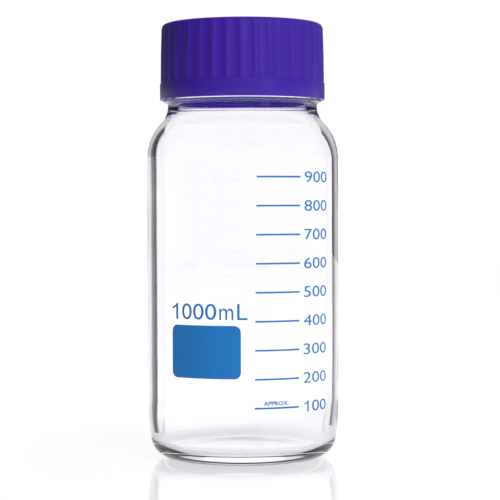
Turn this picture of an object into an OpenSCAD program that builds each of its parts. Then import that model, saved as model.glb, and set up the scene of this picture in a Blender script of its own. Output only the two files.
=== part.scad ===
// Wide-mouth laboratory bottle with a quick-thread screw cap, in millimetres.
// The origin is the middle of the foot on the bench, and +Z points up the bottle.

/* [Glass body] */
// Outer diameter of the body
body_d = 101; // [96:0.5:125]
// Height of the glass, from the foot to the lip
glass_h = 219.5; // [180:0.5:290]
// Thickness of the wall in the body and the shoulder
body_wall = 4; // [2.6:0.1:5]
// Outside radius of the curve from the body into the shoulder
shoulder_r = 28; // [24:1:36]
// Outside radius of the curve from the shoulder into the neck
neck_blend_r = 12.4; // [8:0.2:16]

/* [Foot] */
// Outside radius of the long curve that draws the body in above the heel
lower_body_r = 130; // [100:5:180]
// Height at which that long curve starts
lower_body_h = 30.5; // [24:0.5:40]
// Outside radius of the heel
heel_r = 11.3; // [9:0.1:13]
// Inside radius of the heel
inner_heel_r = 5.5; // [4:0.5:8]
// Width of the flat ring that stands on the bench
foot_w = 2; // [1.2:0.1:3]
// Radius of the edge between the flat ring and the pushed-up base
foot_edge_r = 2.5; // [1.5:0.5:4]
// Rise of the pushed-up base at its middle
punt_h = 3; // [2:0.2:6]
// Thickness of the glass in the base
base_t = 6.3; // [3.5:0.1:7.5]

/* [Neck] */
// Diameter of the mouth
mouth_d = 68; // [56:0.5:72]
// Thickness of the neck between its threads
neck_wall = 4.5; // [3.6:0.1:5.5]
// Extra thickness of the plain neck below the bead
neck_swell = 0.9; // [0:0.1:1.4]
// Length of plain neck between the shoulder and the hollow curve under the bead
plain_neck_h = 0.3; // [0.2:0.1:4]
// Inside radius of the curve from the shoulder into the mouth
mouth_blend_r = 23; // [12:1:27]
// Depth of the middle of the bead below the lip
bead_drop = 31.9; // [28:0.1:40]
// How far the bead stands out from the neck between its threads
bead_t = 3.1; // [2.2:0.1:3.3]
// Radius of the rounded edge of the bead
bead_r = 0.9; // [0.7:0.1:1.4]
// Radius of the hollow curve between the plain neck and the bead
bead_blend_r = 1.2; // [0.8:0.1:1.6]

/* [Lip] */
// Step from the neck in to the lip that holds the pouring ring
lip_step = 1.3; // [1:0.1:1.6]
// Height of the lip above its groove
lip_h = 3.2; // [2.6:0.1:4]
// Depth of the groove under the lip
groove_t = 0.6; // [0.4:0.05:0.8]
// Height of the groove under the lip
groove_h = 2.6; // [2:0.1:3.4]
// Radius of the rounded edges of the lip
lip_edge_r = 0.9; // [0.4:0.1:1]

/* [Pouring ring] */
// Thickness of the skirt round the lip
ring_skirt_t = 1.1; // [0.8:0.05:1.4]
// Thickness of the flange on top of the lip
ring_flange_t = 1.4; // [1:0.1:1.8]
// Height of the pouring edge above the lip
ring_rise = 3.2; // [2.6:0.1:4]
// Thickness of the pouring edge
ring_edge_t = 0.9; // [0.7:0.05:1.2]
// Step from the mouth back to the inside of the ring
ring_setback = 1.2; // [0.8:0.1:1.6]
// Clearance between the ring and the glass round it
ring_gap = 0.05; // [0.03:0.01:0.08]
// Clearance under the skirt of the ring
ring_foot_gap = 0.4; // [0.2:0.1:0.8]
// Clearance between the hook of the ring and the top of the groove
ring_hook_gap = 0.3; // [0.1:0.05:0.6]

/* [Seal] */
// How far the seal disc reaches past the ring
seal_over = 1.15; // [0.9:0.05:1.4]
// Thickness of the seal disc
seal_t = 2.5; // [2:0.1:3.5]
// Clearance between the seal and its pocket
seal_gap = 0.3; // [0.3:0.05:0.5]

/* [Screw cap] */
// Thickness of the skirt at the smooth band
skirt_t = 2.6; // [2.3:0.1:3.4]
// Room between the neck and the bore of the cap for both threads
thread_room = 2.4; // [2.1:0.1:2.8]
// Thickness of the top of the cap
cap_top_t = 3; // [2.4:0.1:3.6]
// Height of the open end of the cap above the middle of the bead
cap_bead_gap = 0.55; // [0.35:0.05:3]
// Height of the smooth band
band_h = 8.9; // [6:0.1:12]
// Step from the band in to the ribs
band_step = 0.35; // [0.2:0.05:0.5]
// Draft of the fluted side, in degrees
cap_draft = 1; // [0.5:0.25:1.25]
// Radius of the rounded edge of the top
cap_edge_r = 2.8; // [1.5:0.1:3.2]
// Height of the bead that holds the seal in its pocket
snap_h = 0.8; // [0.5:0.1:1.2]
// How far that bead reaches under the seal
snap_t = 0.3; // [0.2:0.05:0.4]
// Width of the chamfer inside the open end
cap_chamfer = 1.3; // [1:0.1:1.6]
// Radius of the rounded outer edge of the open end
rim_edge_r = 0.35; // [0.2:0.05:0.6]

/* [Grip flutes] */
// Number of flutes round the cap
flute_count = 36; // [24:1:40]
// Radius of each flute
flute_r = 7; // [6:0.5:9]
// Depth of each flute
flute_depth = 0.7; // [0.4:0.05:0.9]
// Height of the ledge between the band and the flutes
flute_ledge_h = 0.5; // [0.3:0.1:1]
// Turn of the first flute about the axis of the cap, in degrees
flute_turn = 4.45; // [0:0.05:9.95]

/* [Hidden] */
$fn = 128;
long_steps = 20;
arc_steps = 10;
edge_steps = 6;
// Length of each flute cutter past the top of the cap
flute_overrun = 8;

// Radii of the glass, from the mouth outwards
body_r = body_d / 2;
inner_r = body_r - body_wall;
mouth_r = mouth_d / 2;
root_r = mouth_r + neck_wall;
neck_r = root_r + neck_swell;
lip_r = root_r - lip_step;
groove_r = lip_r - groove_t;

// The heel circle stands on the bench and touches the inside of the long curve
heel_turn = asin((lower_body_h - heel_r) / (lower_body_r - heel_r));
heel_x = body_r - lower_body_r + (lower_body_r - heel_r) * cos(heel_turn);

// The dome of the pushed-up base touches the edge of the foot ring
foot_x = heel_x - foot_w;
punt_r = (foot_x * foot_x + punt_h * punt_h) / (2 * punt_h) - foot_edge_r;
punt_turn = asin(foot_x / (punt_r + foot_edge_r));

// Inside, the floor follows the pushed-up base and meets the wall in the inner heel
inner_long_r = lower_body_r - body_wall;
inner_heel_z = base_t + inner_heel_r;
inner_turn = asin((lower_body_h - inner_heel_z) / (inner_long_r - inner_heel_r));
inner_heel_x = inner_r - inner_long_r + (inner_long_r - inner_heel_r) * cos(inner_turn);
floor_r = (inner_heel_x * inner_heel_x + punt_h * punt_h) / (2 * punt_h) - inner_heel_r;
floor_turn = asin(inner_heel_x / (floor_r + inner_heel_r));

// Bead under the cap, and the hollow curve that leads the neck into it
bead_x = root_r + bead_t - bead_r;
bead_z = glass_h - bead_drop;
bead_top_z = bead_z + bead_r;
blend_x = neck_r + bead_blend_r;
blend_turn = acos((blend_x - bead_x) / (bead_r + bead_blend_r));
blend_z = bead_z - (bead_r + bead_blend_r) * sin(blend_turn);

// Two arcs carry the shoulder from the body to the neck, outside and inside
neck_z = blend_z - plain_neck_h;
shoulder_turn = acos(1 - (body_r - neck_r) / (shoulder_r + neck_blend_r));
shoulder_z = neck_z - (shoulder_r + neck_blend_r) * sin(shoulder_turn);
inner_shoulder_r = shoulder_r - body_wall;
inner_shoulder_turn = acos(1 - (inner_r - mouth_r) / (inner_shoulder_r + mouth_blend_r));
mouth_z = shoulder_z + (inner_shoulder_r + mouth_blend_r) * sin(inner_shoulder_turn);

// Pouring ring, on the lip
groove_top_z = glass_h - lip_h;
groove_low_z = groove_top_z - groove_h;
ring_foot_z = groove_low_z + ring_foot_gap;
ring_out_r = lip_r + ring_gap + ring_skirt_t;
ring_flange_z = glass_h + ring_flange_t;
ring_top_z = glass_h + ring_rise;

// The seal rests on the ring, and the top of the cap rests on the seal
seal_r = ring_out_r + seal_over;
seal_top_z = ring_top_z + seal_t;
pocket_r = seal_r + seal_gap;
snap_top_z = ring_top_z - seal_gap;
snap_low_z = snap_top_z - snap_h;
cap_top_z = seal_top_z + cap_top_t;
cap_low_z = bead_z + cap_bead_gap;

// Slope of the cone that leads from the bore in to the pocket, so that it moulds without a ledge
bore_slope = 2;

// Radii of the cap, and the height of its fluted side
bore_r = root_r + thread_room;
band_r = bore_r + skirt_t;
band_top_z = cap_low_z + band_h;
side_low_r = band_r - band_step;
side_top_r = side_low_r - (cap_top_z - band_top_z) * tan(cap_draft);

// Points on an arc about [x, z], from angle a to angle b
function arc(x, z, r, a, b, steps = arc_steps) =
    [for (i = [0:steps]) let (t = a + (b - a) * i / steps) [x + r * cos(t), z + r * sin(t)]];

// Outside of the glass, from the middle of the base up to the lip
glass_outside = concat(
    arc(0, punt_h - punt_r, punt_r, 90, 90 - punt_turn),
    arc(foot_x, foot_edge_r, foot_edge_r, 270 - punt_turn, 270, edge_steps),
    arc(heel_x, heel_r, heel_r, 270, 360 - heel_turn),
    arc(body_r - lower_body_r, lower_body_h, lower_body_r, -heel_turn, 0),
    arc(body_r - shoulder_r, shoulder_z, shoulder_r, 0, shoulder_turn, long_steps),
    arc(neck_r + neck_blend_r, neck_z, neck_blend_r, 180 + shoulder_turn, 180),
    arc(blend_x, blend_z, bead_blend_r, 180, 180 - blend_turn, edge_steps),
    arc(bead_x, bead_z, bead_r, -blend_turn, 90),
    [[root_r + bead_blend_r, bead_top_z], [root_r, bead_top_z + bead_blend_r]],
    [[root_r, groove_low_z - groove_t], [groove_r, groove_low_z]],
    [[groove_r, groove_top_z - groove_t], [lip_r, groove_top_z]],
    arc(lip_r - lip_edge_r, glass_h - lip_edge_r, lip_edge_r, 0, 90, edge_steps)
);

// Inside of the glass, from the lip down to the middle of the floor
glass_inside = concat(
    arc(mouth_r + lip_edge_r, glass_h - lip_edge_r, lip_edge_r, 90, 180, edge_steps),
    arc(mouth_r + mouth_blend_r, mouth_z, mouth_blend_r, 180, 180 + inner_shoulder_turn),
    arc(inner_r - inner_shoulder_r, shoulder_z, inner_shoulder_r, inner_shoulder_turn, 0, long_steps),
    arc(inner_r - inner_long_r, lower_body_h, inner_long_r, 0, -inner_turn),
    arc(inner_heel_x, inner_heel_z, inner_heel_r, 360 - inner_turn, 270 - floor_turn),
    arc(0, base_t + punt_h - floor_r, floor_r, 90 - floor_turn, 90)
);

module glass_bottle() {
    color([0.86, 0.93, 0.95, 0.45])
        rotate_extrude() polygon(concat(glass_outside, glass_inside));
}

// Ring that snaps over the lip: a skirt into the groove, a flange and a flared pouring edge
module pouring_ring() {
    hook_r = groove_r + ring_gap;
    skirt_in_r = lip_r + ring_gap;
    throat_r = mouth_r + ring_setback;
    edge_in_r = ring_out_r - ring_edge_t;
    skirt = [
        [hook_r, groove_top_z - groove_t - ring_hook_gap], [hook_r, ring_foot_z],
        [ring_out_r, ring_foot_z], [ring_out_r, ring_flange_z]
    ];
    flare = [
        [edge_in_r, ring_flange_z + ring_edge_t / 2], [ring_out_r, ring_top_z],
        [edge_in_r, ring_top_z], [throat_r, ring_flange_z]
    ];
    seat = [[throat_r, glass_h], [skirt_in_r, glass_h], [skirt_in_r, groove_top_z]];
    color([0.11, 0.3, 0.68])
        rotate_extrude() polygon(concat(skirt, flare, seat));
}

module cap_seal() {
    color([0.93, 0.92, 0.88])
        translate([0, 0, ring_top_z]) cylinder(r = seal_r, h = seal_t);
}

// Round body of the cap, hollow from its open end up to the seal
module cap_shell() {
    outside = concat(
        arc(band_r - rim_edge_r, cap_low_z + rim_edge_r, rim_edge_r, -90, 0, edge_steps),
        [[band_r, band_top_z - band_step], [side_low_r, band_top_z]],
        arc(side_top_r - cap_edge_r, cap_top_z - cap_edge_r, cap_edge_r, cap_draft, 90, edge_steps)
    );
    pocket = [[0, cap_top_z], [0, seal_top_z], [pocket_r, seal_top_z], [pocket_r, snap_top_z]];
    snap = [[seal_r - snap_t, snap_top_z - snap_t], [seal_r - snap_t, snap_low_z]];
    bore = [
        [bore_r, snap_low_z - bore_slope * (bore_r - seal_r)], [bore_r, cap_low_z + cap_chamfer],
        [bore_r + cap_chamfer, cap_low_z]
    ];
    rotate_extrude() polygon(concat(outside, pocket, snap, bore));
}

// Cutter for one flute, leaning in with the draft of the side
module flute_cutter() {
    translate([side_low_r - flute_depth + flute_r, 0, band_top_z + flute_ledge_h])
        rotate([0, -cap_draft, 0])
            cylinder(r = flute_r, h = cap_top_z - band_top_z + flute_overrun);
}

module screw_cap() {
    color([0.24, 0.16, 0.6])
        difference() {
            cap_shell();
            for (i = [0:flute_count - 1])
                rotate(flute_turn + i * 360 / flute_count) flute_cutter();
        }
}

glass_bottle();
pouring_ring();
screw_cap();
cap_seal();
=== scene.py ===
"""Wide-mouth laboratory bottle in borosilicate glass.

It has a fluted screw cap with a seal, and a pouring ring on its lip. Sizes of the object are in
millimetres, as in the CAD source, and MM brings them to Blender's metres.
"""

import math

import bpy
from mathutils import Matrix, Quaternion, Vector


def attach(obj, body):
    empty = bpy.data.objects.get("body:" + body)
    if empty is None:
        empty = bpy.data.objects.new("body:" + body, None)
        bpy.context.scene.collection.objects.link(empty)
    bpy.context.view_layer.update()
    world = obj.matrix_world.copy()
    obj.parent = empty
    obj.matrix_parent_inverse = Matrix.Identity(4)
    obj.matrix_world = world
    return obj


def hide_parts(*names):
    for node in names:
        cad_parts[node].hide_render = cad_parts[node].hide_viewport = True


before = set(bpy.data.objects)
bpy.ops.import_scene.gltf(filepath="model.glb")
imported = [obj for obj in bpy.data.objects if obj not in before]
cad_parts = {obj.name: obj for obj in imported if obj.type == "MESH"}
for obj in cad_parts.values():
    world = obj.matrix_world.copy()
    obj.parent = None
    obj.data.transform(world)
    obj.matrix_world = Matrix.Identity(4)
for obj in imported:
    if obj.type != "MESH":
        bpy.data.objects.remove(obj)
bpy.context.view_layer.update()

MM = 0.001
FULL_TURN = 2 * math.pi

# Glass: the same sizes as the CAD source
BODY_R = 50.5
BODY_WALL = 4.0
GLASS_H = 219.5
SHOULDER_R = 28.0
NECK_BLEND_R = 12.4
LOWER_BODY_R = 130.0
LOWER_BODY_H = 30.5
HEEL_R = 11.3
INNER_HEEL_R = 5.5
FOOT_W = 2.0
FOOT_EDGE_R = 2.5
PUNT_H = 3.0
BASE_T = 6.3
MOUTH_R = 34.0
ROOT_R = 38.5
NECK_R = 39.4
MOUTH_BLEND_R = 23.0
BEAD_Z = 187.6
NECK_Z = 185.2
BEAD_CREST_R = 41.6
BEAD_R = 0.9
BEAD_BLEND_R = 1.2
ROOT_BLEND_R = 1.0
LIP_R = 37.2
LIP_H = 3.2
GROOVE_R = 36.6
GROOVE_H = 2.6
GROOVE_EDGE_R = 0.5
GROOVE_CORNER_R = 0.8
LIP_UNDER_R = 0.4
LIP_EDGE_R = 0.9

# The blown wall is not even: its inside is off centre between these heights, and eases in and out
WALL_SHIFT = 0.9
SHIFT_LOW_Z, SHIFT_LOW_H = 14, 26
SHIFT_HIGH_Z, SHIFT_HIGH_H = 172, 30

# Quick thread: four starts, each three quarters of a turn, sixteen millimetres a turn
THREAD_STARTS = 4
THREAD_LEAD = 16.0
THREAD_FADE_TURN = 0.035
THREAD_CREST_W = 0.9
THREAD_ROW_H = 0.3
GLASS_THREAD_T = 1.5
GLASS_THREAD_FOOT_W = 2.4
GLASS_THREAD_LOW_Z = 195.2
GLASS_THREAD_TURN = 0.75
CAP_THREAD_T = 1.9
CAP_THREAD_FOOT_W = 2.2
CAP_THREAD_LOW_Z = GLASS_THREAD_LOW_Z - 2
CAP_THREAD_TURN = 0.62
CAP_THREAD_ROW_H = 0.4

# Cap
BORE_R = 40.9
CAP_LOW_Z = BEAD_Z + 0.55
CAP_TOP_Z = GLASS_H + 8.7
CAP_EDGE_R = 2.8
BAND_R = 43.5
BAND_H = 8.9
BAND_STEP = 0.35
CAP_DRAFT = math.radians(1)
RIM_CHAMFER = 1.3
RIM_OUTER_CHAMFER = 0.35
POCKET_R = 39.8
SEAL_TOP_Z = GLASS_H + 5.7
SNAP_R = 39.2
SNAP_Z = SEAL_TOP_Z - 2.8
LEDGE_ROUND_R = 0.12
SIDE_BOW = 0.15
FLUTE_COUNT = 36
FLUTE_R = 7.0
FLUTE_DEPTH = 0.7
FLUTE_LEDGE_H = 0.5
FLUTE_START_H = 0.5
FIRST_LAND = math.radians(-0.55)

# A vertex this close to a wall's radius lies on that wall
ON_WALL = 0.05


def srgb(code):
    """Linear colour of an sRGB hex code."""
    parts = [int(code[i : i + 2], 16) / 255 for i in (1, 3, 5)]
    return [c / 12.92 if c <= 0.04045 else ((c + 0.055) / 1.055) ** 2.4 for c in parts] + [1.0]


def add_node(tree, kind, inputs=None, **settings):
    """Adds one node, sets its settings, and fills or links its inputs."""
    node = tree.nodes.new(kind)
    for name, value in settings.items():
        setattr(node, name, value)
    for socket, value in (inputs or {}).items():
        if isinstance(value, bpy.types.NodeSocket):
            tree.links.new(value, node.inputs[socket])
        else:
            node.inputs[socket].default_value = value
    return node


def new_material(name):
    material = bpy.data.materials.new(name)
    material.use_nodes = True
    material.node_tree.nodes.clear()
    return material, material.node_tree


def finish_material(tree, surface):
    add_node(tree, "ShaderNodeOutputMaterial", {"Surface": surface})


# ---------------------------------------------------------------- mesh tools


def deselect():
    if bpy.context.mode != "OBJECT":
        bpy.ops.object.mode_set(mode="OBJECT")
    bpy.ops.object.select_all(action="DESELECT")


def arc(x, z, radius, start, end, steps):
    """Points on an arc about (x, z), angles in degrees."""
    turns = [math.radians(start + (end - start) * i / steps) for i in range(steps + 1)]
    return [(x + radius * math.cos(t), z + radius * math.sin(t)) for t in turns]


def rows(x, low, high, step):
    """Points up or down a straight wall, no further apart than step."""
    count = max(1, math.ceil(abs(high - low) / step))
    return [(x, low + (high - low) * i / count) for i in range(count + 1)]


def thin_out(points, gap=0.02):
    """Drops points that fall on the one before."""
    kept = [points[0]]
    for point in points[1:]:
        if math.dist(point, kept[-1]) > gap:
            kept.append(point)
    return kept


def spun(name, profile, steps, closed=False):
    """Turns a profile in the XZ plane, in millimetres, once round the axis of the bottle."""
    deselect()
    x, z = profile[0]
    bpy.ops.mesh.primitive_plane_add(size=MM, location=(x * MM, 0, z * MM))
    piece = bpy.context.object
    piece.name = piece.data.name = name
    bpy.ops.object.transform_apply(location=True, rotation=True, scale=True)
    bpy.ops.object.mode_set(mode="EDIT")
    bpy.ops.mesh.select_all(action="SELECT")
    bpy.ops.mesh.merge(type="CENTER")
    points = profile[1:] + ([profile[0]] if closed else [])
    for new_x, new_z in points:
        step = ((new_x - x) * MM, 0, (new_z - z) * MM)
        bpy.ops.mesh.extrude_region_move(TRANSFORM_OT_translate={"value": step})
        x, z = new_x, new_z
    bpy.ops.mesh.select_all(action="SELECT")
    bpy.ops.mesh.spin(steps=steps, angle=FULL_TURN, center=(0, 0, 0), axis=(0, 0, 1))
    bpy.ops.mesh.select_all(action="SELECT")
    bpy.ops.mesh.remove_doubles(threshold=2e-6)
    bpy.ops.mesh.normals_make_consistent(inside=False)
    bpy.ops.object.mode_set(mode="OBJECT")
    bpy.ops.object.shade_smooth()
    return piece


def clamp(share):
    return min(1.0, max(0.0, share))


def smooth(share):
    """Eases a share from 0 to 1 in and out."""
    return share * share * (3 - 2 * share)


def ridge(offset, foot):
    """Height, from 0 to 1, of a thread with that width of foot at an offset from its middle."""
    slope = (foot - THREAD_CREST_W) / 2
    return smooth(clamp((foot / 2 - abs(offset)) / slope))


def thread_height(turn, z, low_z, length, foot):
    """Height, from 0 to 1, of the four-start thread at a turn (in turns) and a height."""
    best = 0.0
    fade = THREAD_FADE_TURN
    for start in range(THREAD_STARTS):
        first = start / THREAD_STARTS
        for lap in (-1, 0, 1):
            along = turn - first + lap
            if -fade < along < length + fade:
                middle = low_z + THREAD_LEAD * along
                end = min(1.0, (along + fade) / fade, (length + fade - along) / fade)
                best = max(best, ridge(z - middle, foot) * max(0.0, end))
    return best


# ---------------------------------------------------------------- glass bottle


def glass_profile():
    """Outside of the glass from the middle of the foot up to the lip, and its inside back down."""
    heel_turn = math.degrees(math.asin((LOWER_BODY_H - HEEL_R) / (LOWER_BODY_R - HEEL_R)))
    heel_x = BODY_R - LOWER_BODY_R + (LOWER_BODY_R - HEEL_R) * math.cos(math.radians(heel_turn))
    foot_x = heel_x - FOOT_W
    punt_r = (foot_x**2 + PUNT_H**2) / (2 * PUNT_H) - FOOT_EDGE_R
    punt_turn = math.degrees(math.asin(foot_x / (punt_r + FOOT_EDGE_R)))

    inner_r = BODY_R - BODY_WALL
    inner_long_r = LOWER_BODY_R - BODY_WALL
    inner_heel_z = BASE_T + INNER_HEEL_R
    inner_turn = math.degrees(
        math.asin((LOWER_BODY_H - inner_heel_z) / (inner_long_r - INNER_HEEL_R))
    )
    inner_heel_x = (
        inner_r - inner_long_r + (inner_long_r - INNER_HEEL_R) * math.cos(math.radians(inner_turn))
    )
    floor_r = (inner_heel_x**2 + PUNT_H**2) / (2 * PUNT_H) - INNER_HEEL_R
    floor_turn = math.degrees(math.asin(inner_heel_x / (floor_r + INNER_HEEL_R)))

    shoulder_sum = SHOULDER_R + NECK_BLEND_R
    shoulder_turn = math.acos(1 - (BODY_R - NECK_R) / shoulder_sum)
    shoulder_z = NECK_Z - shoulder_sum * math.sin(shoulder_turn)
    shoulder_turn = math.degrees(shoulder_turn)
    inner_shoulder_r = SHOULDER_R - BODY_WALL
    inner_sum = inner_shoulder_r + MOUTH_BLEND_R
    inner_shoulder_turn = math.acos(1 - (inner_r - MOUTH_R) / inner_sum)
    mouth_z = shoulder_z + inner_sum * math.sin(inner_shoulder_turn)
    inner_shoulder_turn = math.degrees(inner_shoulder_turn)

    bead_x = BEAD_CREST_R - BEAD_R
    blend_x = NECK_R + BEAD_BLEND_R
    blend_turn = math.acos((blend_x - bead_x) / (BEAD_R + BEAD_BLEND_R))
    blend_z = BEAD_Z - (BEAD_R + BEAD_BLEND_R) * math.sin(blend_turn)
    blend_turn = math.degrees(blend_turn)
    groove_top = GLASS_H - LIP_H
    groove_low = groove_top - GROOVE_H
    corner_x, corner_z = GROOVE_R + GROOVE_CORNER_R, groove_low + GROOVE_CORNER_R
    root_low = BEAD_Z + BEAD_R + 2.5
    root_top = groove_low - 1

    outside = (
        arc(0, PUNT_H - punt_r, punt_r, 90, 90 - punt_turn, 16)
        + arc(foot_x, FOOT_EDGE_R, FOOT_EDGE_R, 270 - punt_turn, 270, 5)
        + arc(heel_x, HEEL_R, HEEL_R, 270, 360 - heel_turn, 24)
        + arc(BODY_R - LOWER_BODY_R, LOWER_BODY_H, LOWER_BODY_R, -heel_turn, 0, 12)
        + arc(BODY_R - SHOULDER_R, shoulder_z, SHOULDER_R, 0, shoulder_turn, 26)
        + arc(NECK_R + NECK_BLEND_R, NECK_Z, NECK_BLEND_R, 180 + shoulder_turn, 180, 14)
        + arc(blend_x, blend_z, BEAD_BLEND_R, 180, 180 - blend_turn, 6)
        + arc(bead_x, BEAD_Z, BEAD_R, -blend_turn, 90, 14)
        + arc(ROOT_R + ROOT_BLEND_R, BEAD_Z + BEAD_R + ROOT_BLEND_R, ROOT_BLEND_R, 270, 180, 6)
        + rows(ROOT_R, root_low, root_top, THREAD_ROW_H)
        + arc(ROOT_R - GROOVE_EDGE_R, groove_low - 0.6, GROOVE_EDGE_R, 0, 60, 4)
        + arc(corner_x, corner_z, GROOVE_CORNER_R, 240, 180, 4)
        + arc(GROOVE_R + LIP_UNDER_R, groove_top - 0.7, LIP_UNDER_R, 180, 120, 3)
        + arc(LIP_R - LIP_UNDER_R, groove_top, LIP_UNDER_R, -60, 0, 3)
        + arc(LIP_R - LIP_EDGE_R, GLASS_H - LIP_EDGE_R, LIP_EDGE_R, 0, 90, 8)
    )
    inside = (
        arc(MOUTH_R + LIP_EDGE_R, GLASS_H - LIP_EDGE_R, LIP_EDGE_R, 90, 180, 8)
        + arc(MOUTH_R + MOUTH_BLEND_R, mouth_z, MOUTH_BLEND_R, 180, 180 + inner_shoulder_turn, 14)
        + arc(inner_r - inner_shoulder_r, shoulder_z, inner_shoulder_r, inner_shoulder_turn, 0, 24)
        + arc(inner_r - inner_long_r, LOWER_BODY_H, inner_long_r, 0, -inner_turn, 12)
        + arc(inner_heel_x, inner_heel_z, INNER_HEEL_R, 360 - inner_turn, 270 - floor_turn, 18)
        + arc(0, BASE_T + PUNT_H - floor_r, floor_r, 90 - floor_turn, 90, 16)
    )
    return thin_out(outside + inside)


def uneven_wall(bottle):
    """Moves the inside of the body a little to the right: the blown wall is thicker on the left."""
    for vertex in bottle.data.vertices:
        x, y, z = vertex.co / MM
        low_rise = clamp((z - SHIFT_LOW_Z) / SHIFT_LOW_H)
        high_rise = clamp((SHIFT_HIGH_Z - z) / SHIFT_HIGH_H)
        if math.hypot(x, y) < BODY_R - BODY_WALL + 0.3 and z > BASE_T:
            vertex.co.x += WALL_SHIFT * MM * smooth(low_rise * high_rise)


def add_neck_thread(bottle):
    """Pushes the neck wall out along the four starts of the thread."""
    for vertex in bottle.data.vertices:
        x, y, z = vertex.co / MM
        radius = math.hypot(x, y)
        if BEAD_Z + 2 < z < GLASS_H - 7 and abs(radius - ROOT_R) < ON_WALL:
            turn = (math.atan2(y, x) / FULL_TURN) % 1
            out = GLASS_THREAD_T * thread_height(
                turn, z, GLASS_THREAD_LOW_Z, GLASS_THREAD_TURN, GLASS_THREAD_FOOT_W
            )
            vertex.co.x *= (radius + out) / radius
            vertex.co.y *= (radius + out) / radius


def borosilicate_glass():
    """Blown and fire-polished borosilicate glass: clear, smooth and very slightly uneven."""
    material, tree = new_material("borosilicate_glass_fire_polished")
    place = add_node(tree, "ShaderNodeTexCoord").outputs["Object"]
    # The blown wall waves softly, about once in 25 mm
    waves = add_node(
        tree,
        "ShaderNodeTexNoise",
        {"Vector": place, "Scale": 40.0, "Detail": 1.0, "Roughness": 0.4},
    )
    bump = add_node(
        tree,
        "ShaderNodeBump",
        {"Height": waves.outputs[0], "Strength": 0.12, "Distance": 0.0006},
    )
    glass = add_node(
        tree,
        "ShaderNodeBsdfPrincipled",
        {
            "Base Color": srgb("#FEFDFF"),
            "Roughness": 0.0,
            "IOR": 1.473,
            "Transmission Weight": 1.0,
            "Normal": bump.outputs[0],
        },
    )
    path = add_node(tree, "ShaderNodeLightPath")
    clear = add_node(tree, "ShaderNodeBsdfTransparent", {"Color": srgb("#F4F5F6")})
    surface = add_node(
        tree,
        "ShaderNodeMixShader",
        {0: path.outputs["Is Shadow Ray"], 1: glass.outputs[0], 2: clear.outputs[0]},
    )
    finish_material(tree, surface.outputs[0])
    return material


bottle = spun("bottle_glass", glass_profile(), 240)
add_neck_thread(bottle)
uneven_wall(bottle)
bottle.data.materials.append(borosilicate_glass())
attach(bottle, "bottle")
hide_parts("glass_bottle")


# ---------------------------------------------------------------- screw cap

SIDE_LOW_R = BAND_R - BAND_STEP
BAND_TOP_Z = CAP_LOW_Z + BAND_H
FLUTE_LOW_Z = BAND_TOP_Z + FLUTE_LEDGE_H
FLUTED_MIN_R = 39.5
SEGMENTS_PER_FLUTE = 16


def cap_profile():
    """Outside of the cap from the rim up to the middle of its top, and its inside back down."""
    side_top_r = SIDE_LOW_R - (CAP_TOP_Z - BAND_TOP_Z) * math.tan(CAP_DRAFT)
    rim_x, rim_z = BAND_R - RIM_OUTER_CHAMFER, CAP_LOW_Z + RIM_OUTER_CHAMFER
    outside = (
        [(BORE_R + RIM_CHAMFER, CAP_LOW_Z), (rim_x, CAP_LOW_Z)]
        + arc(rim_x, rim_z, RIM_OUTER_CHAMFER, -90, 0, 4)
        + arc(BAND_R - LEDGE_ROUND_R, BAND_TOP_Z - BAND_STEP, LEDGE_ROUND_R, 0, 45, 3)
        + [(SIDE_LOW_R, BAND_TOP_Z)]
        + rows(SIDE_LOW_R, FLUTE_LOW_Z - 0.1, FLUTE_LOW_Z + 0.9, 0.1)
        + [(SIDE_LOW_R - SIDE_BOW, (BAND_TOP_Z + CAP_TOP_Z) / 2)]
        + arc(side_top_r - CAP_EDGE_R, CAP_TOP_Z - CAP_EDGE_R, CAP_EDGE_R, 1, 90, 14)
        + [(side_top_r - CAP_EDGE_R - 6, CAP_TOP_Z), (20, CAP_TOP_Z), (0, CAP_TOP_Z)]
    )
    inside = (
        [(0, SEAL_TOP_Z), (20, SEAL_TOP_Z), (POCKET_R, SEAL_TOP_Z), (POCKET_R, SNAP_Z)]
        + [(SNAP_R, SNAP_Z - 0.3), (SNAP_R, SNAP_Z - 0.8), (BORE_R, SNAP_Z - 3.6)]
        + rows(BORE_R, SNAP_Z - 4.2, CAP_LOW_Z + RIM_CHAMFER, CAP_THREAD_ROW_H)
    )
    return thin_out(outside + inside)


def clock_flutes(cap):
    """Gathers the segments at the edges of the lands, and sinks the flutes between them.

    The list has each segment's place in half a flute, in degrees from the middle of a land.
    """
    pitch = 360 / FLUTE_COUNT
    gathered = [0, 0.85, 1.12, 1.4, 1.85, 2.5, 3.3, 4.15, 5.0]
    gathered += [pitch - a for a in gathered[-2:0:-1]]
    per_flute = len(gathered)
    half_width = math.sqrt(2 * FLUTE_R * FLUTE_DEPTH - FLUTE_DEPTH**2)
    for vertex in cap.data.vertices:
        x, y, z = vertex.co / MM
        radius = math.hypot(x, y)
        if radius < 1e-6:
            continue
        index = round(math.degrees(math.atan2(y, x)) / pitch * per_flute)
        index %= FLUTE_COUNT * per_flute
        degrees = index // per_flute * pitch + gathered[index % per_flute]
        angle = math.radians(degrees) + FIRST_LAND - math.pi / 2
        if z > FLUTE_LOW_Z - 0.02 and radius > FLUTED_MIN_R:
            across = math.radians(abs(degrees % pitch - pitch / 2)) * SIDE_LOW_R
            side_r = SIDE_LOW_R - (z - BAND_TOP_Z) * math.tan(CAP_DRAFT)
            if across < half_width:
                sunk = math.sqrt(FLUTE_R**2 - across**2) - FLUTE_R + FLUTE_DEPTH
                start = clamp((z - FLUTE_LOW_Z) / FLUTE_START_H)
                radius = min(radius, side_r - sunk * math.sqrt(1 - (1 - start) ** 2))
        vertex.co.x = radius * MM * math.cos(angle)
        vertex.co.y = radius * MM * math.sin(angle)


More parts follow.
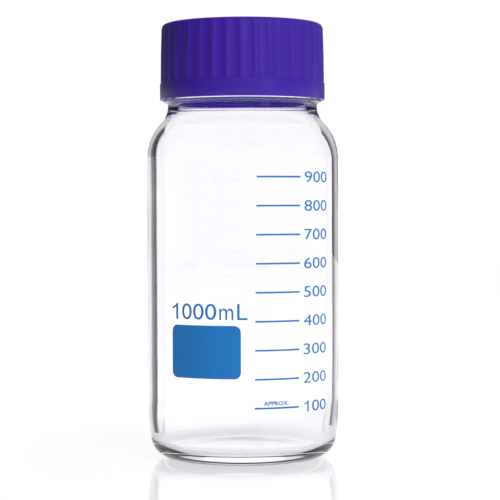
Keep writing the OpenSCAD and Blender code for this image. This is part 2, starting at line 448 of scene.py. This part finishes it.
def add_cap_thread(cap):
    """Brings the bore in along four shorter threads, half a pitch below those of the neck."""
    for vertex in cap.data.vertices:
        x, y, z = vertex.co / MM
        radius = math.hypot(x, y)
        if CAP_LOW_Z + 3 < z < SEAL_TOP_Z - 7 and abs(radius - BORE_R) < ON_WALL:
            turn = (math.atan2(y, x) / FULL_TURN) % 1
            grown = thread_height(
                turn, z, CAP_THREAD_LOW_Z, CAP_THREAD_TURN, CAP_THREAD_FOOT_W
            )
            inwards = (radius - CAP_THREAD_T * grown) / radius
            vertex.co.x *= inwards
            vertex.co.y *= inwards


def moulded_polypropylene(name, colour, rough):
    """Injection-moulded polypropylene: deep colour, soft waxy gloss, faint grain of the mould."""
    material, tree = new_material(name)
    place = add_node(tree, "ShaderNodeTexCoord").outputs["Object"]
    # Grain about 1.1 mm wide, coarser than the mould's own so that it shows; the colour clouds
    # over about 17 mm, as the melt flowed
    grain = add_node(
        tree,
        "ShaderNodeTexNoise",
        {"Vector": place, "Scale": 900.0, "Detail": 3.0, "Roughness": 0.6},
    )
    cloud = add_node(
        tree,
        "ShaderNodeTexNoise",
        {"Vector": place, "Scale": 60.0, "Detail": 2.0, "Roughness": 0.5},
    )
    tint = add_node(
        tree,
        "ShaderNodeMapRange",
        {"Value": cloud.outputs[0], "To Min": 0.94, "To Max": 1.06},
    )
    base = add_node(
        tree,
        "ShaderNodeHueSaturation",
        {"Color": srgb(colour), "Value": tint.outputs[0]},
    )
    gloss = add_node(
        tree,
        "ShaderNodeMapRange",
        {"Value": grain.outputs[0], "To Min": rough - 0.05, "To Max": rough + 0.05},
    )
    bump = add_node(
        tree,
        "ShaderNodeBump",
        {"Height": grain.outputs[0], "Strength": 0.08, "Distance": 0.0002},
    )
    plastic = add_node(
        tree,
        "ShaderNodeBsdfPrincipled",
        {
            "Base Color": base.outputs[0],
            "Roughness": gloss.outputs[0],
            "IOR": 1.49,
            "Specular IOR Level": 0.3,
            "Normal": bump.outputs[0],
        },
    )
    finish_material(tree, plastic.outputs[0])
    return material


cap_blue = moulded_polypropylene("polypropylene_moulded_blue", "#3B1B95", 0.3)
cap = spun("cap_moulding", cap_profile(), FLUTE_COUNT * SEGMENTS_PER_FLUTE, closed=True)
add_cap_thread(cap)
clock_flutes(cap)
cap.data.materials.append(cap_blue)
deselect()
cap.select_set(True)
bpy.context.view_layer.objects.active = cap
bpy.ops.object.shade_smooth_by_angle(angle=math.radians(28))
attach(cap, "cap")
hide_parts("screw_cap")


# ---------------------------------------------------------------- pouring ring and seal


def assign(node, material):
    node.data.materials.clear()
    node.data.materials.append(material)


def silicone_rubber():
    """Silicone sheet, calendered: blue, matt, with a fine even grain."""
    material, tree = new_material("silicone_sheet_calendered")
    place = add_node(tree, "ShaderNodeTexCoord").outputs["Object"]
    # Even grain of the rollers, about 0.8 mm wide
    grain = add_node(
        tree, "ShaderNodeTexNoise", {"Vector": place, "Scale": 1200.0, "Detail": 2.0}
    )
    bump = add_node(
        tree, "ShaderNodeBump", {"Height": grain.outputs[0], "Strength": 0.1, "Distance": 0.0001}
    )
    rough = add_node(
        tree, "ShaderNodeMapRange", {"Value": grain.outputs[0], "To Min": 0.5, "To Max": 0.65}
    )
    rubber = add_node(
        tree,
        "ShaderNodeBsdfPrincipled",
        {
            "Base Color": srgb("#3A3E96"),
            "Roughness": rough.outputs[0],
            "IOR": 1.43,
            "Normal": bump.outputs[0],
        },
    )
    finish_material(tree, rubber.outputs[0])
    return material


assign(
    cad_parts["pouring_ring"],
    moulded_polypropylene("polypropylene_moulded_ring", "#2F5FB4", 0.35),
)
assign(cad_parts["cap_seal"], silicone_rubber())


# ---------------------------------------------------------------- print

# The film lies just off the glass; it is cut often enough to follow the round body
PRINT_R = BODY_R + 0.02
PRINT_T = 0.05
CUT_STEP = 0.8


def print_enamel():
    """Fired ceramic enamel, screen printed: an even blue film, slightly matt, a little cloudy."""
    material, tree = new_material("ceramic_enamel_screen_printed")
    place = add_node(tree, "ShaderNodeTexCoord").outputs["Object"]
    # The film varies a little in thickness, over about 1.4 mm
    film = add_node(
        tree, "ShaderNodeTexNoise", {"Vector": place, "Scale": 700.0, "Detail": 3.0}
    )
    tint = add_node(
        tree, "ShaderNodeMapRange", {"Value": film.outputs[0], "To Min": 0.93, "To Max": 1.05}
    )
    base = add_node(
        tree, "ShaderNodeHueSaturation", {"Color": srgb("#1672BA"), "Value": tint.outputs[0]}
    )
    rough = add_node(
        tree, "ShaderNodeMapRange", {"Value": film.outputs[0], "To Min": 0.4, "To Max": 0.55}
    )
    enamel = add_node(
        tree,
        "ShaderNodeBsdfPrincipled",
        {
            "Base Color": base.outputs[0],
            "Roughness": rough.outputs[0],
            "IOR": 1.5,
            "Specular IOR Level": 0.3,
        },
    )
    finish_material(tree, enamel.outputs[0])
    return material


def cut_across(piece, low, high):
    """Cuts a flat piece in strips along X, and gives it the film's thickness."""
    deselect()
    bpy.context.view_layer.objects.active = piece
    piece.select_set(True)
    bpy.ops.object.mode_set(mode="EDIT")
    x = low + CUT_STEP * MM
    while x < high:
        bpy.ops.mesh.select_all(action="SELECT")
        bpy.ops.mesh.bisect(plane_co=(x, 0, 0), plane_no=(1, 0, 0))
        x += CUT_STEP * MM
    bpy.ops.mesh.select_all(action="SELECT")
    bpy.ops.mesh.extrude_region_move(TRANSFORM_OT_translate={"value": (0, 0, PRINT_T * MM)})
    bpy.ops.mesh.select_all(action="SELECT")
    bpy.ops.mesh.normals_make_consistent(inside=False)
    bpy.ops.object.mode_set(mode="OBJECT")


def wrap_on_glass(piece):
    """Lays a flat piece, X along and Y up in metres, round the front of the body."""
    for vertex in piece.data.vertices:
        angle = vertex.co.x / (BODY_R * MM)
        radius = PRINT_R * MM + vertex.co.z
        up = vertex.co.y
        vertex.co = Vector((radius * math.sin(angle), -radius * math.cos(angle), up))
    piece.data.update()


def arc_length(degrees):
    """Metres along the glass from the front to an angle, which is positive to the right."""
    return math.radians(degrees) * BODY_R * MM


def fit_print(piece, left, width, low, height):
    """Brings a flat piece to its size and lays it on the glass; left is an arc length."""
    xs = [v.co.x for v in piece.data.vertices]
    ys = [v.co.y for v in piece.data.vertices]
    scale_x = width * MM / (max(xs) - min(xs))
    scale_y = height * MM / (max(ys) - min(ys))
    for vertex in piece.data.vertices:
        vertex.co.x = left + (vertex.co.x - min(xs)) * scale_x
        vertex.co.y = low * MM + (vertex.co.y - min(ys)) * scale_y
    deselect()
    bpy.context.view_layer.objects.active = piece
    piece.select_set(True)
    bpy.ops.object.mode_set(mode="EDIT")
    bpy.ops.mesh.select_all(action="SELECT")
    bpy.ops.mesh.remove_doubles(threshold=1e-6)
    bpy.ops.object.mode_set(mode="OBJECT")
    cut_across(piece, left, left + width * MM)
    wrap_on_glass(piece)


def printed_text(name, text, left, width, low, height, weight=0.0):
    """Text printed from an arc length on, as wide and as tall as given."""
    deselect()
    bpy.ops.object.text_add(location=(0, 0, 0))
    piece = bpy.context.object
    piece.data.body = text
    piece.data.resolution_u = 6
    piece.data.offset = weight
    bpy.ops.object.convert(target="MESH")
    piece = bpy.context.object
    piece.name = piece.data.name = name
    fit_print(piece, left, width, low, height)
    return piece


def printed_one(name, left, width, low, height):
    """Figure one with a curved flag, drawn on a grid of 1472 units to its height."""
    corners = [(583, 0), (763, 0), (763, 1472), (647, 1472), (560, 1335), (450, 1235), (340, 1162)]
    corners += [(223, 1104), (223, 930), (330, 972), (460, 1050), (583, 1147)]
    deselect()
    bpy.ops.mesh.primitive_plane_add(size=1, location=(583, 0, 0))
    piece = bpy.context.object
    piece.name = piece.data.name = name
    bpy.ops.object.transform_apply(location=True, rotation=True, scale=True)
    bpy.ops.object.mode_set(mode="EDIT")
    bpy.ops.mesh.select_all(action="SELECT")
    bpy.ops.mesh.merge(type="CENTER")
    for (x0, y0), (x1, y1) in zip(corners, corners[1:]):
        step = (x1 - x0, y1 - y0, 0)
        bpy.ops.mesh.extrude_region_move(TRANSFORM_OT_translate={"value": step})
    bpy.ops.mesh.select_all(action="SELECT")
    bpy.ops.mesh.edge_face_add()
    bpy.ops.object.mode_set(mode="OBJECT")
    fit_print(piece, left, width, low, height)
    return piece


def printed_bar(name, left, right, low, high, corner=0.0):
    """Filled bar printed between two angles and two heights, with rounded corners."""
    x0, x1, y0, y1 = arc_length(left), arc_length(right), low * MM, high * MM
    deselect()
    bpy.ops.mesh.primitive_plane_add(size=1, location=((x0 + x1) / 2, (y0 + y1) / 2, 0))
    piece = bpy.context.object
    piece.name = piece.data.name = name
    piece.scale = (x1 - x0, y1 - y0, 1)
    bpy.ops.object.transform_apply(location=True, rotation=True, scale=True)
    if corner:
        bpy.ops.object.mode_set(mode="EDIT")
        bpy.ops.mesh.select_all(action="SELECT")
        bpy.ops.mesh.bevel(offset=corner * MM, segments=8, affect="VERTICES")
        bpy.ops.object.mode_set(mode="OBJECT")
    cut_across(piece, x0, x1)
    wrap_on_glass(piece)
    return piece


# Scale: lines and numbers start at these angles; the screen stood a little askew on the bottle
SCALE_LOW_Z = 30.6
SCALE_STEP = 14.57
MIDDLE_MARK = 5
LEAN_STEP = 0.2
LINE_T = 0.9
LINE_LEFT, LINE_RIGHT = 7.4, 34.8
NUMBER_LEFT = 37.9
NUMBER_H = 5.6
NUMBER_W = 17.6
NUMBER_ONE_INSET = 0.8
NUMBER_ONE_W = 2.9
NOUGHTS_W = NUMBER_W * 0.65

# Capacity and writing patch: the same left edge
PATCH_LEFT, PATCH_RIGHT = -45.2, -1.1
PATCH_LOW_Z, PATCH_TOP_Z = 45.4, 72.3
PATCH_CORNER_R = 3.4
CAPACITY_Z = 75.2
CAPACITY_H = 8.1
CAPACITY_ONE_W = 4.1
# The rest of the capacity: name, letters, angle of the left edge, width and height
CAPACITY_RUNS = (
    ("capacity_000", "000", -37.5, 19.6, CAPACITY_H),
    ("capacity_m", "m", -13.5, 7.2, CAPACITY_H * 0.72),
    ("capacity_l", "L", -3.2, 5.2, CAPACITY_H),
)

# Note over the lowest line of the scale, in heavier strokes, as it is so small
NOTE_LEFT = 11.8
NOTE_GAP = 1.3
NOTE_W, NOTE_H = 13.5, 2.2
NOTE_WEIGHT = 0.03

printed = []
for mark in range(1, 10):
    height = SCALE_LOW_Z + SCALE_STEP * (mark - 1)
    lean = LEAN_STEP * (mark - MIDDLE_MARK)
    line_low, line_top = height - LINE_T / 2, height + LINE_T / 2
    printed.append(
        printed_bar(f"line_{mark}00", LINE_LEFT + lean, LINE_RIGHT + lean, line_low, line_top)
    )
    left, low = arc_length(NUMBER_LEFT + lean), height - NUMBER_H / 2
    if mark > 1:
        printed.append(
            printed_text(f"number_{mark}00", f"{mark}00", left, NUMBER_W, low, NUMBER_H)
        )
    else:
        one_left = left + NUMBER_ONE_INSET * MM
        rest_left = left + (NUMBER_W - NOUGHTS_W) * MM
        printed.append(printed_one("number_100", one_left, NUMBER_ONE_W, low, NUMBER_H))
        printed.append(printed_text("number_00", "00", rest_left, NOUGHTS_W, low, NUMBER_H))

printed.append(
    printed_one("capacity_1", arc_length(PATCH_LEFT), CAPACITY_ONE_W, CAPACITY_Z, CAPACITY_H)
)
for name, text, degrees, width, height in CAPACITY_RUNS:
    printed.append(printed_text(name, text, arc_length(degrees), width, CAPACITY_Z, height))
left, low = arc_length(NOTE_LEFT), SCALE_LOW_Z + NOTE_GAP
printed.append(printed_text("scale_note", "APPROX.", left, NOTE_W, low, NOTE_H, NOTE_WEIGHT))
printed.append(
    printed_bar("label_field", PATCH_LEFT, PATCH_RIGHT, PATCH_LOW_Z, PATCH_TOP_Z, PATCH_CORNER_R)
)

enamel = print_enamel()
for piece in printed:
    piece.data.materials.append(enamel)
deselect()
for piece in printed:
    piece.select_set(True)
bpy.context.view_layer.objects.active = printed[0]
bpy.ops.object.join()
scale_print = bpy.context.object
scale_print.name = scale_print.data.name = "enamel_print"
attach(scale_print, "bottle")


# ---------------------------------------------------------------- studio

CAMERA_DISTANCE = 0.922
CAMERA_HEIGHT = 0.1326
CAMERA_SIDE = 0.00376
CAMERA_PITCH = math.radians(1.46)
CAMERA_ROLL = math.radians(-0.205)
CAMERA_LENS = 125.3
SENSOR_W = 36

FLOOR_SIZE = 6
BOTTLE_MIDDLE = Vector((0, 0, 0.11))
WHITE = (1, 1, 1, 1)

# Light of the room on matt surfaces, from the left and from the right, and its look in gloss
LEFT_LIGHT, RIGHT_LIGHT = 0.1, 0.76
LEFT_GLOSS, RIGHT_GLOSS = 0.1, 0.17
COVE_GLOSS = 0.95
BACKDROP = 1.04

# Light that the floor gives off: near the bottle, lower there as a painted shade round its foot,
# farther off, and on matt surfaces
NEAR_GLOW_PAINTED_SHADE, FAR_GLOW, MATT_GLOW = 0.41, 0.74, 0.35
NEAR_POLISH = 0.15

# The flags' rows of points: on the floor near the bottle, far off, and up from there
FLAG_DISTANCES = (0.095, 0.8, 0.8)
FLAG_HEIGHTS = (0.001, 0.001, 0.5)
STRAIGHT_THROUGH = 3.5
SIDE_FLAG_PLACE = (-0.052, 0.074, 0.2)
SIDE_FLAG_SIZE = (0.252, 0.2, 1)


def studio_world():
    """White backdrop; in gloss a dim room with a white cove; less light from the left."""
    world = bpy.data.worlds.new("studio_world")
    bpy.context.scene.world = world
    world.use_nodes = True
    tree = world.node_tree
    tree.nodes.clear()
    towards = add_node(tree, "ShaderNodeTexCoord").outputs["Generated"]
    along = add_node(tree, "ShaderNodeSeparateXYZ", {"Vector": towards})
    fade = add_node(
        tree,
        "ShaderNodeMapRange",
        {
            "Value": along.outputs["X"],
            "From Min": -0.75,
            "From Max": 0.25,
            "To Min": LEFT_LIGHT,
            "To Max": RIGHT_LIGHT,
        },
        interpolation_type="SMOOTHSTEP",
    )
    dim = add_node(
        tree,
        "ShaderNodeMapRange",
        {
            "Value": along.outputs["X"],
            "From Min": -0.5,
            "From Max": 0.5,
            "To Min": LEFT_GLOSS,
            "To Max": RIGHT_GLOSS,
        },
        interpolation_type="SMOOTHSTEP",
    )
    # The cove shows near the floor, behind and beside the bottle, with a gap on the right
    low = add_node(
        tree,
        "ShaderNodeMapRange",
        {"Value": along.outputs["Z"], "From Min": 0.07, "From Max": 0.01},
        interpolation_type="SMOOTHSTEP",
    )
    behind = add_node(
        tree,
        "ShaderNodeMapRange",
        {
            "Value": along.outputs["Y"],
            "From Min": -0.4,
            "From Max": -0.1,
            "To Max": low.outputs[0],
        },
        interpolation_type="SMOOTHSTEP",
    )
    gap = add_node(
        tree,
        "ShaderNodeMath",
        {0: along.outputs["X"], 1: 0.46, 2: 0.25},
        operation="COMPARE",
    )
    cove_share = add_node(
        tree,
        "ShaderNodeMath",
        {0: behind.outputs[0], 1: gap.outputs[0]},
        operation="SUBTRACT",
        use_clamp=True,
    )
    in_gloss = add_node(
        tree,
        "ShaderNodeMix",
        {"Factor": cove_share.outputs[0], "A": dim.outputs[0], "B": COVE_GLOSS},
    )
    path = add_node(tree, "ShaderNodeLightPath")
    lit = add_node(
        tree,
        "ShaderNodeMix",
        {"Factor": path.outputs["Is Glossy Ray"], "A": fade.outputs[0], "B": in_gloss.outputs[0]},
    )
    straight = add_node(
        tree,
        "ShaderNodeMath",
        {0: path.outputs["Is Camera Ray"], 1: path.outputs["Is Transmission Ray"]},
        operation="MAXIMUM",
    )
    strength = add_node(
        tree, "ShaderNodeMix", {"Factor": straight.outputs[0], "A": lit.outputs[0], "B": BACKDROP}
    )
    room = add_node(
        tree, "ShaderNodeBackground", {"Color": WHITE, "Strength": strength.outputs[0]}
    )
    add_node(tree, "ShaderNodeOutputWorld", {"Surface": room.outputs[0]})


def floor_acrylic():
    """White acrylic sheet: polished round the bottle and glowing less there, a painted shade about
    its foot; matt and evenly white farther off.
    """
    material, tree = new_material("acrylic_sheet_polished_white")
    place = add_node(tree, "ShaderNodeTexCoord").outputs["Object"]
    reach = add_node(tree, "ShaderNodeVectorMath", {0: place}, operation="LENGTH")
    matt = add_node(
        tree,
        "ShaderNodeMapRange",
        {"Value": reach.outputs["Value"], "From Min": 0.1, "From Max": 0.36},
        interpolation_type="SMOOTHSTEP",
    )
    polish = add_node(
        tree, "ShaderNodeMapRange", {"Value": matt.outputs[0], "To Min": NEAR_POLISH, "To Max": 0.0}
    )
    sheet = add_node(
        tree,
        "ShaderNodeBsdfPrincipled",
        {
            "Base Color": srgb("#B8B8BD"),
            "Roughness": 0.1,
            "IOR": 1.49,
            "Specular IOR Level": polish.outputs[0],
        },
    )
    # The glow is lower near the bottle than farther off: a painted shade round the foot of the
    # bottle
    seen = add_node(
        tree,
        "ShaderNodeMapRange",
        {"Value": matt.outputs[0], "To Min": NEAR_GLOW_PAINTED_SHADE, "To Max": FAR_GLOW},
    )
    path = add_node(tree, "ShaderNodeLightPath")
    strength = add_node(
        tree,
        "ShaderNodeMix",
        {"Factor": path.outputs["Is Diffuse Ray"], "A": seen.outputs[0], "B": MATT_GLOW},
    )
    glow = add_node(
        tree, "ShaderNodeEmission", {"Color": WHITE, "Strength": strength.outputs[0]}
    )
    both = add_node(tree, "ShaderNodeAddShader", {0: sheet.outputs[0], 1: glow.outputs[0]})
    finish_material(tree, both.outputs[0])
    return material


def flag_glow(tones):
    """Flag that glows in grey tones, painted shade for the dark bands seen through the edges of the
    glass: each tone has a share of the width, from the middle outwards.
    """
    material, tree = new_material("flag_glow_painted_shade")
    across = add_node(
        tree, "ShaderNodeSeparateXYZ", {"Vector": add_node(tree, "ShaderNodeUVMap").outputs[0]}
    )
    ramp = add_node(tree, "ShaderNodeValToRGB", {"Fac": across.outputs["X"]})
    points = ramp.color_ramp.elements
    while len(points) < len(tones):
        points.new(0.5)
    for point, (share, colour) in zip(points, tones):
        point.position = share
        point.color = srgb(colour)
    # Seen straight through the bottle, after four crossings of glass, it is as pale as the backdrop
    path = add_node(tree, "ShaderNodeLightPath")
    through = add_node(
        tree,
        "ShaderNodeMath",
        {0: path.outputs["Transmission Depth"], 1: STRAIGHT_THROUGH},
        operation="GREATER_THAN",
    )
    tone = add_node(
        tree,
        "ShaderNodeMixRGB",
        {"Fac": through.outputs[0], "Color1": ramp.outputs[0], "Color2": srgb("#FBFAFD")},
    )
    # The flag glows in its tones: painted shade, not lit cloth
    cloth = add_node(tree, "ShaderNodeEmission", {"Color": tone.outputs[0], "Strength": 1.0})
    finish_material(tree, cloth.outputs[0])
    return material


def studio_flag(name, side, bends, colours):
    """Flag that only shows through glass, as painted shade in dark bands at its edges; it lies on
    the floor behind the bottle, then stands up.

    The edge of the bottle bends the light outwards. The flag has each colour at a bend, in degrees
    from straight behind, on the left (side -1) or the right (side 1).
    """
    first, last = bends[0], bends[-1]
    deselect()
    bpy.ops.mesh.primitive_grid_add(x_subdivisions=16, y_subdivisions=2, size=1)
    flag = bpy.context.object
    flag.name = name
    for vertex in flag.data.vertices:
        share, row = vertex.co.x + 0.5, round(vertex.co.y * 2 + 1)
        distance = FLAG_DISTANCES[row]
        turn = math.radians(first + (last - first) * share) + math.asin(BODY_R * MM / distance)
        vertex.co = Vector(
            (side * distance * math.sin(turn), distance * math.cos(turn), FLAG_HEIGHTS[row])
        )
    tones = [((bend - first) / (last - first), colour) for bend, colour in zip(bends, colours)]
    flag.data.materials.append(flag_glow(tones))
    flag.visible_camera = False
    flag.visible_diffuse = False
    flag.visible_glossy = False
    flag.visible_shadow = False


def direction(azimuth, elevation):
    """Direction from the bottle; azimuths turn from the camera to the left, in degrees."""
    turn, rise = math.radians(azimuth), math.radians(elevation)
    return Vector(
        (-math.sin(turn) * math.cos(rise), -math.cos(turn) * math.cos(rise), math.sin(rise))
    )


def gloss_card(name, place, width, height, level):
    """Card of white diffuser cloth, facing the bottle, that only shows as a sheen on gloss."""
    material, tree = new_material("diffuser_cloth_white")
    glow = add_node(tree, "ShaderNodeEmission", {"Color": WHITE, "Strength": level})
    finish_material(tree, glow.outputs[0])
    deselect()
    bpy.ops.mesh.primitive_plane_add(size=1, location=place)
    card = bpy.context.object
    card.name = name
    card.scale = (width, height, 1)
    away = Vector((place[0], place[1], 0))
    card.rotation_euler = away.to_track_quat("Z", "Y").to_euler()
    card.data.materials.append(material)
    card.visible_camera = False
    card.visible_diffuse = False
    card.visible_transmission = False
    card.visible_shadow = False


def side_flag():
    """Black flag close to the left of the cap, out of sight: it keeps light off that side."""
    deselect()
    bpy.ops.mesh.primitive_plane_add(size=1, location=SIDE_FLAG_PLACE)
    flag = bpy.context.object
    flag.name = "side_flag"
    flag.scale = SIDE_FLAG_SIZE
    flag.rotation_euler = (math.pi / 2, 0, math.pi / 2)
    material, tree = new_material("cotton_cloth_black")
    cloth = add_node(
        tree, "ShaderNodeBsdfPrincipled", {"Base Color": srgb("#141416"), "Roughness": 0.9}
    )
    finish_material(tree, cloth.outputs[0])
    flag.data.materials.append(material)
    flag.visible_camera = False
    flag.visible_glossy = False
    flag.visible_transmission = False
    flag.visible_shadow = False


def soft_box(name, azimuth, elevation, distance, size, power):
    """Square lamp, facing the bottle, that lights it without showing in its gloss."""
    away = direction(azimuth, elevation)
    light = bpy.data.lights.new(name, "AREA")
    light.size = size
    light.energy = power
    lamp = bpy.data.objects.new(name, light)
    bpy.context.scene.collection.objects.link(lamp)
    lamp.location = BOTTLE_MIDDLE + away * distance
    lamp.rotation_euler = away.to_track_quat("Z", "Y").to_euler()
    lamp.visible_glossy = False
    lamp.visible_transmission = False


studio_world()
deselect()
bpy.ops.mesh.primitive_plane_add(size=FLOOR_SIZE, location=(0, 0, 0))
floor = bpy.context.object
floor.name = "studio_floor"
floor.data.materials.append(floor_acrylic())

# The flags' grey tones are painted shade: the dark bands seen through the left and right edges of
# the glass
studio_flag(
    "flag_left",
    -1,
    (13, 18, 22, 25.5, 27.5, 45),
    ("#F4F3FA", "#E6E4EE", "#D8D6DE", "#B0ACB5", "#453F42", "#453F42"),
)
studio_flag(
    "flag_right",
    1,
    (12, 16, 19, 22, 26, 29.5, 31.5, 38),
    ("#F4F3FA", "#ECEBF2", "#E2E1E8", "#D8D7DE", "#BDBAC4", "#A29EA8", "#4A464E", "#4A464E"),
)
soft_box("soft_box_front", azimuth=-20, elevation=42, distance=1.6, size=1.5, power=20)
gloss_card("sheen_card", BOTTLE_MIDDLE + direction(-35, 12) * 1.3, 0.35, 0.7, 0.9)
gloss_card("cove_card_behind", direction(180, 0) * 3 + Vector((0, 0, 0.75)), 1.5, 1.5, 0.9)
side_flag()
# Points straight up from inside the glass: it lights the inside of the cap
soft_box("lamp_inside", azimuth=180, elevation=-90, distance=0.03, size=0.04, power=0.2)

camera_data = bpy.data.cameras.new("camera")
camera_data.lens = CAMERA_LENS
camera_data.sensor_width = SENSOR_W
camera = bpy.data.objects.new("camera", camera_data)
bpy.context.scene.collection.objects.link(camera)
camera.rotation_mode = "QUATERNION"
camera.location = (CAMERA_SIDE, -CAMERA_DISTANCE, CAMERA_HEIGHT)
tilt = Quaternion((1, 0, 0), math.pi / 2 - CAMERA_PITCH)
camera.rotation_quaternion = tilt @ Quaternion((0, 0, 1), CAMERA_ROLL)
bpy.context.scene.camera = camera

scene = bpy.context.scene
scene.view_settings.view_transform = "Standard"
